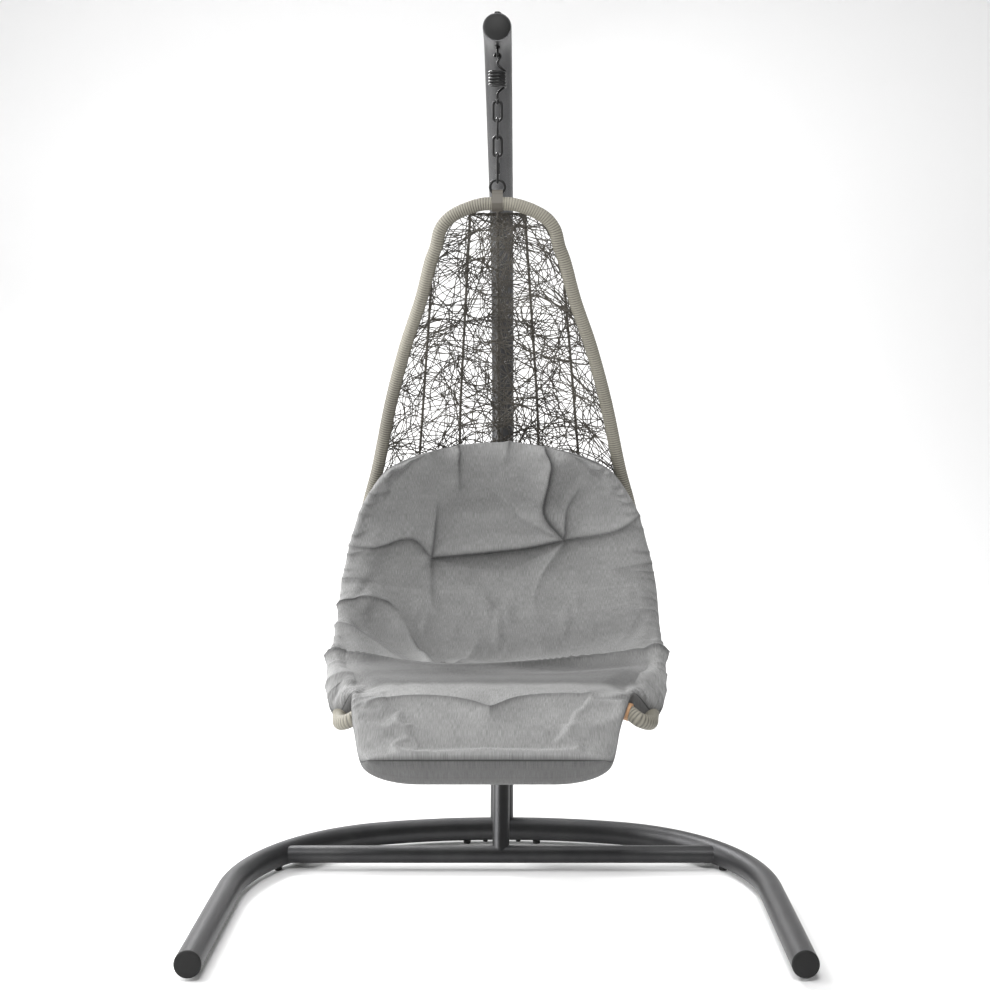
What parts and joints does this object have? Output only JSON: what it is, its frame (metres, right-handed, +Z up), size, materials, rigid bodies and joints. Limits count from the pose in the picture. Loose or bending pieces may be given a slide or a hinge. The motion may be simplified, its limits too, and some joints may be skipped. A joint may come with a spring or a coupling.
{
  "type": "hanging chaise swing with stand",
  "caption": "Grey wicker chaise basket with a long grey pad, hung by a spring and chain from a dark C-shaped steel stand on a U-shaped floor tube.",
  "frame": {"origin": "middle of the footprint, on the floor", "axes": "+Z up, +Y from the feet back to the mast, +X across the seat"},
  "size_m": [1.376, 1.4563, 2.0938],
  "materials": {
    "powder_coat": "textured charcoal powder coat",
    "cap_plastic": "moulded dark grey",
    "rubber_foot": "matt",
    "dark_steel": "black finished steel",
    "wicker_wrap": "grey-brown synthetic wicker wound round the tube",
    "wicker_strand": "dark brown synthetic wicker",
    "pad_fabric": "heathered grey outdoor weave",
    "tan_leather": "plain tan"
  },
  "bodies": {
    "stand": {"base_tube_left": "powder_coat", "base_tube_right": "powder_coat", "crossbar": "powder_coat", "mast_lower": "powder_coat", "mast_upper": "powder_coat", "brace": "powder_coat", "foot_cap_left": "cap_plastic", "foot_cap_right": "cap_plastic", "arm_cap": "cap_plastic", "glide_front_left": "rubber_foot", "glide_front_right": "rubber_foot", "glide_side_left": "rubber_foot", "glide_side_right": "rubber_foot", "glide_rear_left": "rubber_foot", "glide_rear_right": "rubber_foot", "base_connector": "dark_steel", "base_bolt_left": "dark_steel", "base_bolt_right": "dark_steel", "mast_foot_bolt": "dark_steel", "mast_sleeve": "dark_steel", "mast_bolt_lower": "dark_steel", "mast_nut_lower": "dark_steel", "mast_bolt_upper": "dark_steel", "mast_nut_upper": "dark_steel", "brace_bolt": "dark_steel", "eye_bolt": "dark_steel", "eye_washer": "dark_steel", "cap_nut": "dark_steel"},
    "spring": {"spring": "dark_steel"},
    "link_a": {"chain_link_a": "dark_steel"},
    "link_b": {"chain_link_b": "dark_steel"},
    "link_c": {"chain_link_c": "dark_steel"},
    "quick_link": {"quick_link": "dark_steel", "quick_link_nut": "dark_steel"},
    "basket": {"rail_tube_left": "dark_steel", "rail_tube_right": "dark_steel", "rail_wrap_left": "wicker_wrap", "rail_wrap_right": "wicker_wrap", "hang_ring": "dark_steel", "ring_band": "wicker_wrap", "woven_shell": "wicker_strand", "rib_center": "wicker_strand", "rib_inner_left": "wicker_strand", "rib_inner_right": "wicker_strand", "rib_outer_left": "wicker_strand", "rib_outer_right": "wicker_strand", "hoop_back": "wicker_strand", "hoop_seat_rear": "wicker_strand", "hoop_seat_front": "wicker_strand", "cushion": "pad_fabric", "tie_left": "tan_leather", "tie_right": "tan_leather"}
  },
  "joints": [
    {"name": "swing_fore_aft", "type": "hinge", "parent": "stand", "child": "spring", "pos_m": [0, -0.3208, 1.9945], "axis": [1, 0, 0], "range_deg": [-20, 12]},
    {"name": "spring_bounce", "type": "slide", "parent": "spring", "child": "link_a", "axis": [0, 0, 1], "range_m": [-0.04, 0], "stiffness_N_per_m": 20000, "springref_m": 0.008, "deforming": ["spring"]},
    {"name": "link_sideways", "type": "hinge", "parent": "link_a", "child": "link_b", "pos_m": [0, -0.3208, 1.854], "axis": [0, 1, 0], "range_deg": [-8, 8]},
    {"name": "link_fore_aft", "type": "hinge", "parent": "link_b", "child": "link_c", "pos_m": [0, -0.3208, 1.8151], "axis": [1, 0, 0], "range_deg": [-4, 4]},
    {"name": "chain_twist", "type": "hinge", "parent": "link_c", "child": "quick_link", "pos_m": [0, -0.3208, 1.7763], "axis": [0, 0, 1], "range_deg": [-12, 12]},
    {"name": "basket_sideways", "type": "hinge", "parent": "quick_link", "child": "basket", "pos_m": [0, -0.3208, 1.7186], "axis": [0, 1, 0], "range_deg": [-6, 6]}
  ]
}
